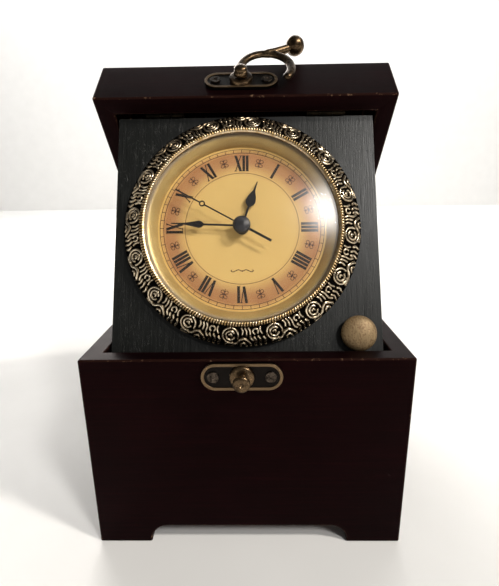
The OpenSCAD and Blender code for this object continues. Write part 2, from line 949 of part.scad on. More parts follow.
module fifth_wheel() {
    color(WHITE_PLASTIC) on_clock() at_xy(fifth_at)
        union() {
            disc(0.6, case_back + plate_t + 0.3, bridge_z - 0.2);
            disc(pivot_r, case_back + 0.5, bridge_z + bridge_t);
            gear(10, second_mod, -11.3, -9.6, fifth_dir + 180);
            gear(60, fifth_mod, -9.6 - eps, -8.9, gap_turn(60, rotor_dir));
        }
}

module rotor() {
    color(STEEL) on_clock() at_xy(rotor_at)
        union() {
            disc(pivot_r, case_back + 0.5, bridge_z + bridge_t);
            disc(2.4, -11.6, -9.9);
            gear(12, fifth_mod, -9.9 - eps, -8.2, rotor_dir + 180);
        }
}

module minute_wheel() {
    color(WHITE_PLASTIC) on_clock() at_xy(motion_at)
        union() {
            disc(set_arbor_r, case_back - 2.2, -5.0);
            gear(36, motion_mod, -5.0 - eps, -4.1, gap_turn(36, motion_dir + 180));
            gear(10, hour_mod, -4.1 - eps, -1.2, motion_dir + 180);
            disc(pivot_r, -1.2 - eps, case_front - plate_t + 0.5);
        }
}

// Ribbed knob at the back of the movement for setting the hands.
module set_knob() {
    ribs = 24;
    color(PLASTIC) on_clock() at_xy(motion_at)
        difference() {
            union() {
                disc(4.6, case_back - 2.2, case_back - 0.3);
                for (i = [0:ribs - 1])
                    rotate([0, 0, 360 * i / ribs])
                        translate([4.3, -0.25, case_back - 2.2]) cube([0.7, 0.5, 1.9]);
            }
            disc(set_arbor_r, case_back - 5, case_back + 1);
        }
}

// ---- hands ----

// Leaf hand pointing up: a thin stalk, a leaf with rounded shoulders, a point.
module leaf_hand(length, leaf_from, leaf_w, stalk_w, bore_r, z0, angle) {
    widest = leaf_from + leaf_w * 0.62;
    right = [[stalk_w / 2, bore_r + 0.3], [stalk_w / 2, leaf_from],
        [leaf_w * 0.42, leaf_from + leaf_w * 0.3], [leaf_w / 2, widest],
        [leaf_w * 0.40, widest + leaf_w * 0.45], [stalk_w * 0.55, length * 0.80],
        [0.18, length]];
    color(HAND_BLACK) on_clock() rotate([0, 0, -angle])
        difference() {
            union() {
                disc(hub_r, z0, z0 + hand_t);
                translate([0, 0, z0]) linear_extrude(height = hand_t)
                    polygon(concat(right, [for (p = flip(right)) [-p[0], p[1]]]));
            }
            disc(bore_r, z0 - 1, z0 + 1);
        }
}

module hour_hand() { leaf_hand(hour_len, 9.6, 4.6, 0.9, hour_out, hour_z, hour_angle); }
module minute_hand() { leaf_hand(minute_len, 17.0, 3.4, 0.8, minute_out, minute_z, minute_angle); }

eye_at = 20.2;
eye_r = 1.35;
tail_len = 15;
module second_hand() {
    color(HAND_BLACK) on_clock() rotate([0, 0, -second_angle])
        difference() {
            union() {
                translate([0, 0, second_z]) linear_extrude(height = hand_t)
                    difference() {
                        union() {
                            circle(r = hub_r);
                            translate([-0.3, 0]) square([0.6, second_len]);
                            translate([-0.55, -tail_len]) square([1.1, tail_len]);
                            translate([0, eye_at]) circle(r = eye_r);
                        }
                        translate([0, eye_at]) circle(r = eye_r - 0.55);
                    }
                translate([0, 0, second_z + hand_t - eps])
                    rotate_extrude()
                        polygon([[0, 0], [boss_r, 0], [boss_r, 0.5], [3.5, 1.2], [2.5, 1.75],
                            [1.3, 2.05], [0, 2.15]]);
            }
            disc(arbor_r, second_z - 1, second_z + 0.25);
        }
}

about_middle() box_front();
about_middle() box_back();
about_middle() box_left();
about_middle() box_right();
about_middle() box_floor();
about_middle() catch_plate();
about_middle() catch_knob();
about_middle() catch_screws();
about_middle() rear_hinge_box_leaves();
about_middle() rear_hinge_pins();
about_middle() rear_hinge_box_screws();
about_middle() lid_front();
about_middle() lid_back();
about_middle() lid_left();
about_middle() lid_right();
about_middle() lid_top();
about_middle() rear_hinge_lid_leaves();
about_middle() rear_hinge_lid_screws();
about_middle() hook_plate();
about_middle() hook_pivot();
about_middle() hook_screws();
about_middle() hook();
about_middle() panel_hinge_lid_leaves();
about_middle() panel_hinge_lid_screws();
about_middle() magnet_block();
about_middle() catch_magnet();
about_middle() panel_board();
about_middle() panel_hinge_leaves();
about_middle() panel_hinge_pins();
about_middle() panel_hinge_screws();
about_middle() strike_plate();
about_middle() pull_knob();
about_middle() pull_knob_screw();
about_middle() bezel();
about_middle() bead_ring();
about_middle() reflector_ring();
about_middle() lens();
about_middle() dial();
about_middle() insert_cup();
about_middle() grip_ring();
about_middle() movement_case();
about_middle() movement_back();
about_middle() movement_screws();
about_middle() train_bridge();
about_middle() circuit_board();
about_middle() coil();
about_middle() stator();
about_middle() battery();
about_middle() battery_contacts();
about_middle() second_hand();
about_middle() second_wheel();
about_middle() minute_hand();
about_middle() centre_wheel();
about_middle() hour_hand();
about_middle() hour_wheel();
about_middle() third_wheel();
about_middle() fifth_wheel();
about_middle() rotor();
about_middle() minute_wheel();
about_middle() set_knob();
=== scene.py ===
"""Looks of a quartz clock in a hinged wooden box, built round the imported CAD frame.

Lengths are millimetres in each part's own frame, and a matrix takes them to the CAD's frame in metres.
"""
import json
import math
import random

import bmesh
import bpy
import numpy as np
from mathutils import Matrix, Vector


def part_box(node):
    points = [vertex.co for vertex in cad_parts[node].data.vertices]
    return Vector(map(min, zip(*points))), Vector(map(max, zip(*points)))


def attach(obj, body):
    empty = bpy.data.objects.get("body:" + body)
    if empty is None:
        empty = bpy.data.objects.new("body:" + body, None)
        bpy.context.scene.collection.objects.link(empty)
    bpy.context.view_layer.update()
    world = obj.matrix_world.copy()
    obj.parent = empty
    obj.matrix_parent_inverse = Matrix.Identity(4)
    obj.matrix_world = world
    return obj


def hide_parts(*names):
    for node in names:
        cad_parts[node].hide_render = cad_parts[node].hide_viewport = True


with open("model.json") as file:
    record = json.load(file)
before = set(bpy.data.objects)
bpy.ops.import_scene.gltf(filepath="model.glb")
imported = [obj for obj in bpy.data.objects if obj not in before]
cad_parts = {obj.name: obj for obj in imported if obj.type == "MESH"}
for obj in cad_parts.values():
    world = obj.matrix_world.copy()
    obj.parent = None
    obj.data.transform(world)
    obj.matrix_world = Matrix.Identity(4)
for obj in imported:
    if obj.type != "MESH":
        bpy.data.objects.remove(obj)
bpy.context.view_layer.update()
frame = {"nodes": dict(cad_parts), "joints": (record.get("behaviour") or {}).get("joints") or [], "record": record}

MM = 0.001
X_AXIS = Vector((1, 0, 0))
JOINTS = {joint["name"]: joint for joint in frame["joints"]}


# ---- frames of reference ----

def frame_at(origin, out):
    """Matrix from millimetres to the CAD's frame in metres: x stays level, z points out."""
    out = Vector(out).normalized()
    up = out.cross(X_AXIS).normalized()
    matrix = Matrix((X_AXIS, up, out)).transposed().to_4x4()
    matrix.translation = Vector(origin)
    return matrix @ Matrix.Scale(MM, 4)


def box_in(node, matrix):
    """Lowest and highest corner of a CAD node in a frame's own millimetres."""
    back = matrix.inverted()
    points = np.array([back @ v.co for v in frame["nodes"][node].data.vertices])
    return Vector(points.min(0)), Vector(points.max(0))


clock_axis = Vector(JOINTS["second_arbor"]["axis"])
clock_at = Vector(JOINTS["second_arbor"]["pos_m"])
lid_axis = Vector(JOINTS["hook_pivot"]["axis"])
hinge_at = Vector(JOINTS["lid_hinge"]["pos_m"])
knob_lo, knob_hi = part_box("catch_knob")
front_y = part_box("box_front")[0].y
box_mid = (front_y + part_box("box_back")[1].y) / 2
lid_turn = Matrix.Rotation(-math.atan2(lid_axis.z, -lid_axis.y), 4, "X")

BOX = Matrix.Translation((0, box_mid, 0)) @ Matrix.Scale(MM, 4)
CLOCK = frame_at(clock_at, -clock_axis)
PANEL = frame_at((0, clock_at.y, clock_at.z), -clock_axis)
LID_FACE = frame_at(JOINTS["hook_pivot"]["pos_m"], lid_axis)
BOX_FACE = frame_at(((knob_lo.x + knob_hi.x) / 2, front_y, (knob_lo.z + knob_hi.z) / 2), (0, -1, 0))
LID = Matrix.Translation(hinge_at) @ lid_turn @ Matrix.Translation(-hinge_at) @ BOX


# ---- curves ----

def bend_through(points, steps):
    """Points on a smooth curve through the given ones, steps to each stretch."""
    points = [np.array(p, float) for p in points]
    ends = [2 * points[0] - points[1]] + points + [2 * points[-1] - points[-2]]
    line = []
    for a, b, c, d in zip(ends, ends[1:], ends[2:], ends[3:]):
        for i in range(steps):
            t = i / steps
            line.append(0.5 * (2 * b + (c - a) * t + (2 * a - 5 * b + 4 * c - d) * t ** 2
                               + (3 * b - a - 3 * c + d) * t ** 3))
    return line + [points[-1]]


def arc(centre, radius, start, end, steps=14):
    """Points on an arc, with its angles in degrees."""
    turns = [math.radians(start + (end - start) * i / steps) for i in range(steps + 1)]
    return [np.array((centre[0] + radius * math.cos(a), centre[1] + radius * math.sin(a))) for a in turns]


# ---- meshes ----

def finish_mesh(bm, name, matrix, grain=None):
    """Puts a bmesh in millimetres into the CAD's frame, and keeps its own coordinates as place."""
    bmesh.ops.recalc_face_normals(bm, faces=bm.faces)
    mesh = bpy.data.meshes.new(name)
    bm.to_mesh(mesh)
    bm.free()
    own = np.zeros(len(mesh.vertices) * 3, np.float32)
    mesh.vertices.foreach_get("co", own)
    own = own.reshape(-1, 3)
    if grain is not None:
        own = own[:, grain]
    place = mesh.attributes.new("place", "FLOAT_VECTOR", "POINT")
    place.data.foreach_set("vector", own.ravel())
    mesh.transform(matrix)
    mesh.shade_smooth()
    mesh.set_sharp_from_angle(angle=math.radians(40))
    return mesh


def add_piece(name, mesh, body, looks, replaces=(), weighted=False):
    """Makes a piece of the object from a mesh that is already in place."""
    piece = bpy.data.objects.new(name, mesh)
    bpy.context.scene.collection.objects.link(piece)
    for look in looks:
        mesh.materials.append(look)
    if weighted:
        piece.modifiers.new("weighted", "WEIGHTED_NORMAL").keep_sharp = True
    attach(piece, body)
    if replaces:
        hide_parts(*replaces)


WELD = 0.002


def cad_bmesh(nodes, matrix):
    """The CAD nodes as one bmesh in a frame's millimetres, with their corners welded."""
    bm = bmesh.new()
    for node in nodes:
        bm.from_mesh(frame["nodes"][node].data)
    bmesh.ops.transform(bm, matrix=matrix.inverted(), verts=bm.verts)
    bmesh.ops.remove_doubles(bm, verts=bm.verts, dist=WELD)
    for face in bm.faces:
        face.material_index = 0
    return bm


def merge_flats(bm):
    """Joins neighbouring faces that lie in one plane."""
    bmesh.ops.dissolve_limit(bm, angle_limit=math.radians(0.6), verts=bm.verts, edges=bm.edges)


def ease(bm, width, segments=3, least_angle=35, worn=False):
    """Rounds the sharp edges, and gives the rounding the second material if it is worn."""
    sharp = [e for e in bm.edges if e.is_manifold and e.calc_face_angle(0) > math.radians(least_angle)]
    bmesh.ops.bevel(bm, geom=sharp, offset=width, segments=segments, profile=0.5, affect="EDGES",
                    clamp_overlap=True, material=1 if worn else -1)


def cut_away(bm, point, side):
    """Cuts the mesh by a plane, drops what lies on that side and closes the cut."""
    bmesh.ops.bisect_plane(bm, geom=bm.verts[:] + bm.edges[:] + bm.faces[:], plane_co=point,
                           plane_no=side, clear_outer=True)
    bmesh.ops.holes_fill(bm, edges=[e for e in bm.edges if e.is_boundary], sides=0)


def lathe(profile, steps, closed=False, wave=None):
    """Turns a profile of (radius, height) about z. wave(turn, row) adds to a row's height."""
    bm = bmesh.new()
    rows = []
    for k, (r, z) in enumerate(profile):
        if r < 1e-6:
            rows.append([bm.verts.new((0, 0, z))] * steps)
            continue
        turns = [2 * math.pi * i / steps for i in range(steps)]
        rows.append([bm.verts.new((r * math.cos(a), r * math.sin(a), z + (wave(i, k) if wave else 0)))
                     for i, a in enumerate(turns)])
    pairs = list(zip(rows, rows[1:])) + ([(rows[-1], rows[0])] if closed else [])
    for low, high in pairs:
        for i in range(steps):
            j = (i + 1) % steps
            corners = list(dict.fromkeys((low[i], low[j], high[j], high[i])))
            bm.faces.new(corners)
    return bm


TUBE_SIDES = 16


def tube(bm, line, radii, flat=1.0):
    """Adds a closed tube along a line in the xy plane. flat is its height over its width."""
    rings = []
    line = [np.array((x, y, 0.0)) for x, y in line]
    for i, p in enumerate(line):
        along = line[min(i + 1, len(line) - 1)] - line[max(i - 1, 0)]
        along /= np.linalg.norm(along)
        across = np.array((-along[1], along[0], 0))
        across /= np.linalg.norm(across)
        ring = []
        for k in range(TUBE_SIDES):
            a = 2 * math.pi * k / TUBE_SIDES
            side = math.cos(a) * across + np.array((0, 0, flat * math.sin(a)))
            ring.append(bm.verts.new(p + radii[i] * side))
        rings.append(ring)
    for low, high in zip(rings, rings[1:]):
        for k in range(TUBE_SIDES):
            following = (k + 1) % TUBE_SIDES
            bm.faces.new((low[k], low[following], high[following], high[k]))
    bm.faces.new(rings[0])
    bm.faces.new(rings[-1])


def prism(bm, outline, low, high):
    """Adds a straight-sided solid with a flat outline."""
    bottom = [bm.verts.new((x, y, low)) for x, y in outline]
    top = [bm.verts.new((x, y, high)) for x, y in outline]
    bm.faces.new(bottom[::-1])
    bm.faces.new(top)
    for i in range(len(outline)):
        j = (i + 1) % len(outline)
        bm.faces.new((bottom[i], bottom[j], top[j], top[i]))


def settle(mesh, voxel, smooth):
    """Melts overlapping shells into one skin."""
    holder = bpy.data.objects.new("melt", mesh)
    bpy.context.scene.collection.objects.link(holder)
    melt = holder.modifiers.new("melt", "REMESH")
    melt.mode = "VOXEL"
    melt.voxel_size = voxel
    soft = holder.modifiers.new("soft", "SMOOTH")
    soft.iterations = smooth
    soft.factor = 0.5
    bpy.context.view_layer.update()
    seen = holder.evaluated_get(bpy.context.evaluated_depsgraph_get())
    made = bpy.data.meshes.new_from_object(seen)
    bpy.data.objects.remove(holder)
    return made


# ---- shader building ----

def srgb(red, green, blue):
    """A colour given on the 0 to 255 scale, as the shader's linear values."""
    def linear(c):
        return ((c / 255 + 0.055) / 1.055) ** 2.4 if c > 10 else c / 255 / 12.92

    return [linear(red), linear(green), linear(blue), 1.0]


class Look:
    """A material with one Principled shader, and short names for its nodes."""

    def __init__(self, name, roughness=0.5, metallic=0.0, specular=0.5, coat=0.0, coat_roughness=0.1):
        self.material = bpy.data.materials.new(name)
        self.material.use_nodes = True
        self.tree = self.material.node_tree
        self.shader = self.tree.nodes["Principled BSDF"]
        self.set("Roughness", roughness)
        self.set("Metallic", metallic)
        self.set("Specular IOR Level", specular)
        self.set("Coat Weight", coat)
        self.set("Coat Roughness", coat_roughness)

    def set(self, socket, value):
        if isinstance(value, bpy.types.NodeSocket):
            self.tree.links.new(value, self.shader.inputs[socket])
        else:
            self.shader.inputs[socket].default_value = value

    def node(self, kind, inputs=(), **settings):
        made = self.tree.nodes.new(kind)
        for key, value in settings.items():
            setattr(made, key, value)
        for key, value in dict(inputs).items():
            if isinstance(value, bpy.types.NodeSocket):
                self.tree.links.new(value, made.inputs[key])
            else:
                made.inputs[key].default_value = value
        return made

    def place(self, stretch=(1, 1, 1)):
        """The piece's own millimetres."""
        own = self.node("ShaderNodeAttribute", attribute_name="place").outputs["Vector"]
        return self.node("ShaderNodeVectorMath", {0: own, 1: stretch}, operation="MULTIPLY").outputs[0]

    def world(self, stretch=(1, 1, 1)):
        """The CAD's frame in millimetres, for a piece without its own."""
        own = self.node("ShaderNodeTexCoord").outputs["Object"]
        scale = [s / MM for s in stretch]
        return self.node("ShaderNodeVectorMath", {0: own, 1: scale}, operation="MULTIPLY").outputs[0]

    def radius(self):
        """The distance from the piece's own axis, in millimetres."""
        parts = self.node("ShaderNodeSeparateXYZ", {0: self.place()}).outputs
        flat = self.node("ShaderNodeCombineXYZ", {0: parts[0], 1: parts[1]}).outputs[0]
        return self.node("ShaderNodeVectorMath", {0: flat}, operation="LENGTH").outputs["Value"]

    def noise(self, where, scale, detail=4.0, roughness=0.55, distortion=0.0):
        inputs = {"Vector": where, "Scale": scale, "Detail": detail, "Roughness": roughness,
                  "Distortion": distortion}
        return self.node("ShaderNodeTexNoise", inputs).outputs["Fac"]

    def span(self, value, low, high, to_low=0.0, to_high=1.0):
        """The value, carried from the range low to high over to another range."""
        inputs = {"Value": value, "From Min": low, "From Max": high, "To Min": to_low, "To Max": to_high}
        return self.node("ShaderNodeMapRange", inputs).outputs["Result"]

    def math(self, operation, a, b=0.0):
        return self.node("ShaderNodeMath", {0: a, 1: b}, operation=operation).outputs[0]

    def swing(self, noise, reach):
        """A noise as a swing to both sides of nothing."""
        return self.math("MULTIPLY", self.math("SUBTRACT", noise, 0.5), reach)

    def ramp(self, value, stops):
        made = self.node("ShaderNodeValToRGB", {"Fac": value})
        row = made.color_ramp.elements
        while len(row) < len(stops):
            row.new(0.5)
        for element, (position, colour) in zip(row, stops):
            element.position = position
            element.color = colour
        return made.outputs["Color"]

    def mix(self, share, a, b):
        made = self.node("ShaderNodeMix", data_type="RGBA")
        for key, value in ((0, share), (6, a), (7, b)):
            if isinstance(value, bpy.types.NodeSocket):
                self.tree.links.new(value, made.inputs[key])
            else:
                made.inputs[key].default_value = value
        return made.outputs[2]

    def bump(self, height, depth, strength=1.0):
        """Bends the light as a relief that is depth millimetres deep would."""
        made = self.node("ShaderNodeBump", {"Height": height, "Distance": depth * MM, "Strength": strength})
        self.set("Normal", made.outputs["Normal"])


# ---- materials ----

def mahogany(name, worn):
    """Near-black red stain under satin lacquer. The worn kind, for edges, is rubbed pale in places."""
    look = Look(name, specular=0.04)
    look.set("Specular Tint", srgb(255, 170, 165))
    grain = look.noise(look.place((0.03, 1.0, 1.0)), 0.9, 6.0, 0.6, 0.6)
    pores = look.noise(look.place((0.10, 2.6, 2.6)), 1.6, 3.0, 0.6)
    cloud = look.noise(look.place(), 0.03, 2.0)
    tone = look.math("ADD", look.math("MULTIPLY", grain, 0.7), look.math("MULTIPLY", cloud, 0.3))
    colour = look.ramp(tone, [(0.36, srgb(9, 3, 4)), (0.5, srgb(14, 4, 5)), (0.64, srgb(22, 5, 7))])
    if worn:
        rub = look.noise(look.place(), 0.55, 5.0, 0.7)
        thin = look.mix(0.5, colour, srgb(44, 26, 20))
        colour = look.mix(look.span(rub, 0.60, 0.70), thin, srgb(128, 100, 78))
    look.set("Base Color", colour)
    look.set("Roughness", look.span(look.noise(look.place(), 0.12, 4.0), 0.3, 0.7, 0.40, 0.46))
    look.bump(look.math("ADD", look.math("MULTIPLY", grain, 0.6), pores), 0.05, 0.35)
    return look.material


def panel_paint(name, worn):
    """Black-green paint brushed up the panel, with scratches and specks. The worn kind is for edges."""
    look = Look(name, specular=0.55)
    brushed = look.noise(look.place((1.5, 0.045, 1.0)), 1.0, 6.0, 0.65)
    mottle = look.noise(look.place(), 0.09, 5.0, 0.6)
    field = look.noise(look.place((0.9, 0.16, 1.0)), 0.55, 2.0, 0.5, 1.4)
    off_middle = look.math("ABSOLUTE", look.math("SUBTRACT", field, 0.5))
    scratch = look.span(off_middle, 0.0, 0.004, 1.0, 0.0)
    patch = look.span(look.noise(look.place(), 0.05, 2.0), 0.52, 0.66)
    specks = look.span(look.noise(look.place(), 1.5, 2.0, 0.5), 0.70, 0.76)
    marks = look.math("MAXIMUM", look.math("MULTIPLY", scratch, patch), look.math("MULTIPLY", specks, 0.55))
    colour = look.ramp(mottle, [(0.3, srgb(8, 9, 7)), (0.7, srgb(14, 16, 13))])
    colour = look.mix(look.math("MULTIPLY", marks, 0.55), colour, srgb(120, 118, 108))
    if worn:
        rub = look.noise(look.place(), 0.4, 5.0, 0.7)
        colour = look.mix(look.span(rub, 0.53, 0.62), colour, srgb(128, 120, 104))
    look.set("Base Color", colour)
    look.set("Roughness", look.span(brushed, 0.3, 0.7, 0.26, 0.50))
    look.bump(look.math("ADD", brushed, look.math("MULTIPLY", scratch, -0.3)), 0.12, 0.8)
    return look.material


def old_metal(name, dark, bright, roughness, scale):
    """Metal with darker tarnish and rubbed, brighter places."""
    look = Look(name, metallic=1.0)
    rub = look.noise(look.world(), scale, 5.0, 0.65)
    fine = look.noise(look.world(), scale * 6, 3.0, 0.6)
    look.set("Base Color", look.mix(look.span(rub, 0.38, 0.62), dark, bright))
    look.set("Roughness", look.span(fine, 0.3, 0.7, roughness - 0.08, roughness + 0.12))
    look.bump(look.math("ADD", rub, look.math("MULTIPLY", fine, 0.2)), 0.03, 0.3)
    return look.material


# Heights on a latch plate: its sunk middle and its raised rim.
SUNK, RAISED = 1.2, 1.6


def plate_brass(name):
    """Pressed latch plate: tarnish in the sunk middle, rubbed metal on the raised rim."""
    look = Look(name, metallic=0.9)
    height = look.node("ShaderNodeSeparateXYZ", {0: look.place()}).outputs[2]
    rub = look.noise(look.place(), 0.25, 4.0, 0.6)
    lift = look.math("ADD", look.span(height, SUNK, RAISED), look.swing(rub, 0.6))
    look.set("Base Color", look.ramp(lift, [(0.25, srgb(20, 16, 13)), (0.85, srgb(112, 92, 68))]))
    look.set("Roughness", look.span(rub, 0.3, 0.7, 0.30, 0.46))
    look.bump(rub, 0.03, 0.3)
    return look.material


def ornament_brass(name, valley, ridge):
    """Brass whose hollows are blackened and whose ridges are rubbed bright. relief is 0 to 1."""
    look = Look(name, metallic=1.0)
    relief = look.node("ShaderNodeAttribute", attribute_name="relief").outputs["Fac"]
    rub = look.noise(look.place(), 0.35, 4.0, 0.6)
    lift = look.math("ADD", relief, look.swing(rub, 0.7))
    look.set("Base Color", look.ramp(lift, [(0.28, valley), (0.62, ridge), (0.95, srgb(243, 228, 200))]))
    look.set("Roughness", look.span(lift, 0.2, 0.9, 0.6, 0.22))
    look.bump(look.noise(look.place(), 2.2, 3.0), 0.03, 0.4)
    return look.material


def speckled_brass(name):
    """Pale brushed brass with fine brown specks."""
    look = Look(name, metallic=0.45, roughness=0.55)
    brushed = look.noise(look.place((1.0, 0.25, 1.0)), 1.4, 4.0, 0.6)
    specks = look.span(look.noise(look.place(), 1.3, 2.0, 0.5), 0.54, 0.62)
    colour = look.ramp(brushed, [(0.3, srgb(124, 103, 72)), (0.7, srgb(156, 132, 96))])
    look.set("Base Color", look.mix(look.math("MULTIPLY", specks, 0.7), colour, srgb(104, 72, 44)))
    look.bump(brushed, 0.03, 0.4)
    return look.material


def satin_gold(name):
    """Gold foil ring with faint turning marks round the clock's axis."""
    look = Look(name, metallic=0.35, roughness=0.36)
    radius = look.radius()
    lines = look.noise(look.node("ShaderNodeCombineXYZ", {0: radius}).outputs[0], 2.4, 3.0)
    tone = look.noise(look.place(), 0.06, 3.0)
    gold = look.ramp(tone, [(0.3, srgb(164, 136, 82)), (0.7, srgb(184, 160, 104))])
    outer_band = look.span(radius, 41.2, 42.6)
    look.set("Base Color", look.mix(outer_band, gold, srgb(158, 144, 124)))
    look.bump(lines, 0.05, 0.4)
    return look.material


def dial_print(name):
    """Cream paper with an airbrushed rose-brown chapter ring."""
    look = Look(name, roughness=0.55, specular=0.3)
    spray = look.noise(look.place(), 5.0, 2.0, 0.7)
    drift = look.noise(look.place(), 0.10, 3.0)
    reach = look.math("ADD", look.radius(), look.swing(spray, 1.6))
    reach = look.math("ADD", reach, look.swing(drift, 2.4))
    cream, rose = srgb(212, 180, 113), srgb(168, 121, 82)
    ringed = look.ramp(look.span(reach, 24.0, 40.0),
                       [(0.0, cream), (0.14, srgb(205, 170, 107)), (0.42, rose), (0.66, srgb(162, 111, 74)),
                        (0.75, srgb(188, 144, 92)), (0.83, srgb(210, 175, 105))])
    paper = look.mix(look.span(drift, 0.3, 0.7, 0.0, 0.22), ringed, srgb(208, 168, 98))
    look.set("Base Color", paper)
    look.bump(spray, 0.01, 0.15)
    return look.material


def printed_ink(name, colour, gap):
    """Ink that is a little broken by the paper's grain. gap is how much of the paper shows there."""
    look = Look(name, roughness=0.6, specular=0.3)
    broken = look.span(look.noise(look.place(), 3.0, 3.0, 0.6), 0.62, 0.80, 0.0, gap)
    look.set("Base Color", look.mix(broken, colour, srgb(200, 150, 104)))
    look.bump(look.noise(look.place(), 4.0, 2.0), 0.01, 0.2)
    return look.material


def glossy_black(name):
    """Black enamel with a little dust."""
    look = Look(name, coat=0.3, coat_roughness=0.15)
    dust = look.noise(look.world(), 0.9, 4.0, 0.6)
    look.set("Base Color", look.ramp(dust, [(0.35, srgb(12, 12, 14)), (0.75, srgb(34, 33, 36))]))
    look.set("Roughness", look.span(dust, 0.3, 0.7, 0.27, 0.40))
    look.bump(dust, 0.01, 0.2)
    return look.material


def moulded(name, low, high, roughness, specular=0.4):
    """Plastic, rubber, lacquer or wrap with a fine texture."""
    look = Look(name, specular=specular)
    fine = look.noise(look.world(), 2.4, 3.0, 0.6)
    look.set("Base Color", look.ramp(look.noise(look.world(), 0.15, 3.0), [(0.3, low), (0.7, high)]))
    look.set("Roughness", look.span(fine, 0.3, 0.7, roughness - 0.06, roughness + 0.06))
    look.bump(fine, 0.02, 0.3)
    return look.material


def plywood(name):
    """Bare reddish-brown board with its grain along x."""
    look = Look(name, roughness=0.62, specular=0.25)
    grain = look.noise(look.world((0.05, 1.0, 1.0)), 0.9, 5.0, 0.6, 0.8)
    look.set("Base Color", look.ramp(grain, [(0.32, srgb(84, 48, 34)), (0.68, srgb(128, 84, 56))]))
    look.bump(grain, 0.06, 0.4)
    return look.material


def wound_copper(name):
    """Enamelled wire wound in fine turns along the coil."""
    look = Look(name, metallic=0.9, roughness=0.35)
    turns = look.node("ShaderNodeTexWave", {"Vector": look.world(), "Scale": 1.6, "Distortion": 0.4},
                      bands_direction="Z").outputs["Fac"]
    look.set("Base Color", look.ramp(turns, [(0.2, srgb(120, 52, 24)), (0.8, srgb(206, 118, 66))]))
    look.bump(turns, 0.08, 0.6)
    return look.material


def clear_lens(name):
    """Clear acrylic, rubbed by years of wiping, so that a lamp glows softly in its coat.

    Shadow rays pass straight through, which lights the dial. The index is low so that only the coat mirrors.
    """
    look = Look(name, roughness=0.0, specular=0.0, coat=0.6, coat_roughness=0.22)
    look.set("Base Color", srgb(252, 250, 246))
    look.set("Transmission Weight", 1.0)
    look.set("IOR", 1.03)
    look.bump(look.noise(look.place(), 0.08, 3.0), 0.02, 0.2)
    out = look.tree.nodes["Material Output"]
    through = look.node("ShaderNodeBsdfTransparent")
    shadow = look.node("ShaderNodeLightPath").outputs["Is Shadow Ray"]
    both = look.node("ShaderNodeMixShader", {0: shadow, 1: look.shader.outputs[0], 2: through.outputs[0]})
    look.tree.links.new(both.outputs[0], out.inputs["Surface"])
    return look.material


LOOKS = {
    "mahogany": mahogany("mahogany_look", False),
    "worn_mahogany": mahogany("worn_mahogany_look", True),
    "panel_paint": panel_paint("panel_paint_look", False),
    "worn_paint": panel_paint("worn_paint_look", True),
    "plywood": plywood("plywood_look"),
    "antique_brass": old_metal("antique_brass_look", srgb(58, 46, 34), srgb(112, 92, 68), 0.30, 0.16),
    "dark_steel": old_metal("dark_steel_look", srgb(34, 29, 25), srgb(88, 78, 68), 0.34, 0.5),
    "plate_brass": plate_brass("plate_brass_look"),
    "ornament_brass": ornament_brass("ornament_brass_look", srgb(12, 10, 8), srgb(150, 130, 102)),
    "bead_brass": ornament_brass("bead_brass_look", srgb(38, 26, 14), srgb(176, 142, 88)),
    "speckled_brass": speckled_brass("speckled_brass_look"),
    "gold_ring": satin_gold("gold_ring_look"),
    "hinge_brass": old_metal("hinge_brass_look", srgb(96, 78, 50), srgb(150, 126, 84), 0.34, 0.2),
    # The panel's hinges sit in the shadow under the lid. Their brass is painted near black, which is painted
    # shade.
    "panel_hinge_brass": old_metal("panel_hinge_brass_look", srgb(14, 12, 9), srgb(34, 28, 20), 0.5, 0.4),
    "steel": old_metal("steel_look", srgb(120, 120, 122), srgb(196, 197, 200), 0.30, 0.6),
    "copper": wound_copper("copper_look"),
    "lens_clear": clear_lens("lens_clear_look"),
    "dial_print": dial_print("dial_print_look"),
    "numeral_ink": printed_ink("numeral_ink_look", srgb(30, 24, 22), 0.25),
    "fine_ink": printed_ink("fine_ink_look", srgb(66, 38, 27), 0.2),
    "hand_black": glossy_black("hand_black_look"),
    "cap_grey": moulded("cap_grey_look", srgb(48, 49, 56), srgb(62, 63, 71), 0.42),
    "black_plastic": moulded("black_plastic_look", srgb(20, 20, 22), srgb(30, 30, 33), 0.45),
    "white_plastic": moulded("white_plastic_look", srgb(214, 212, 204), srgb(232, 231, 226), 0.42),
    "grip_rubber": moulded("grip_rubber_look", srgb(22, 21, 21), srgb(34, 33, 33), 0.75, 0.25),
    "board_green": moulded("board_green_look", srgb(18, 78, 38), srgb(30, 104, 54), 0.35),
    "cell_wrap": moulded("cell_wrap_look", srgb(150, 112, 40), srgb(184, 142, 58), 0.35),
}


# ---- wooden box and lid ----

EDGE = 0.8

# Coordinates in the order that lays the grain, which runs along the first, along the board.
ALONG_X = [0, 2, 1]
ALONG_Y = [1, 2, 0]

# Each wall with two directions across its mitres, which point out of it, and its grain.
WALLS = [("front", (1, 1), (-1, 1), ALONG_X), ("back", (1, -1), (-1, -1), ALONG_X),
         ("left", (1, 1), (1, -1), ALONG_Y), ("right", (-1, 1), (-1, -1), ALONG_Y)]


def wood_piece(shell, body, node, cuts, grain, matrix):
    """One board cut out of a shell whose edges are already rounded."""
    bm = shell.copy()
    for point, side in cuts:
        cut_away(bm, point, side)
    name = node + "_wood"
    mesh = finish_mesh(bm, name, matrix, grain)
    add_piece(name, mesh, body, [LOOKS["mahogany"], LOOKS["worn_mahogany"]], [node], True)


def box_shell():
    """The four mitred walls welded, without the joints' hidden faces."""
    bm = cad_bmesh(["box_" + wall[0] for wall in WALLS], BOX)
    upright = [f for f in bm.faces if abs(f.normal.z) < 0.02]
    mitre = [f for f in upright if abs(abs(f.normal.x) - abs(f.normal.y)) < 0.02]
    bmesh.ops.delete(bm, geom=mitre, context="FACES_ONLY")
    bmesh.ops.remove_doubles(bm, verts=bm.verts, dist=WELD)
    bmesh.ops.recalc_face_normals(bm, faces=bm.faces)
    merge_flats(bm)
    ease(bm, EDGE, worn=True)
    return bm


